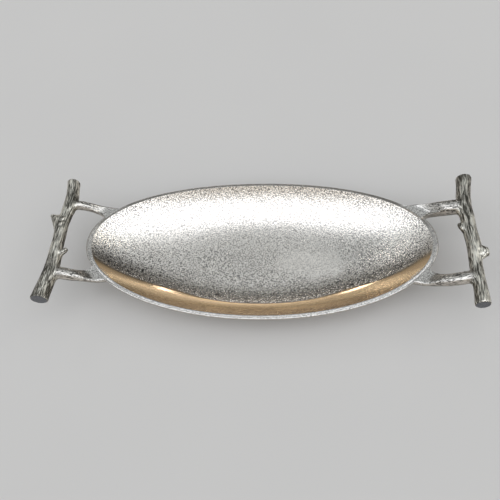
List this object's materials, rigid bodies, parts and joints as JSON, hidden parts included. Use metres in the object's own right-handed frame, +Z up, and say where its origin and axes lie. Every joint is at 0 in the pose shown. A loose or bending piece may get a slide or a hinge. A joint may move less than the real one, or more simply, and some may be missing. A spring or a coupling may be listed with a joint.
{
  "type": "serving tray",
  "caption": "Long oval cast-aluminium serving dish with raised ends and a twig-shaped crossbar handle at each end.",
  "frame": {"origin": "on the surface that the tray stands on, under the centre of the dish", "axes": "+X along the tray towards the right handle, +Y towards the rear side, +Z up"},
  "size_m": [0.5328, 0.199, 0.0754],
  "materials": {
    "polished_aluminium": "polished cast aluminium, finely pebbled inside, satin rim",
    "twig_aluminium": "cast bark texture, brushed, darker in the grooves",
    "pad_rubber": "matte"
  },
  "bodies": {
    "root": {"dish": "polished_aluminium", "left_rear_arm": "polished_aluminium", "left_front_arm": "polished_aluminium", "right_rear_arm": "polished_aluminium", "right_front_arm": "polished_aluminium", "left_twig_bar": "twig_aluminium", "right_twig_bar": "twig_aluminium", "left_front_pad": "pad_rubber", "left_rear_pad": "pad_rubber", "right_front_pad": "pad_rubber", "right_rear_pad": "pad_rubber"}
  },
  "joints": []
}
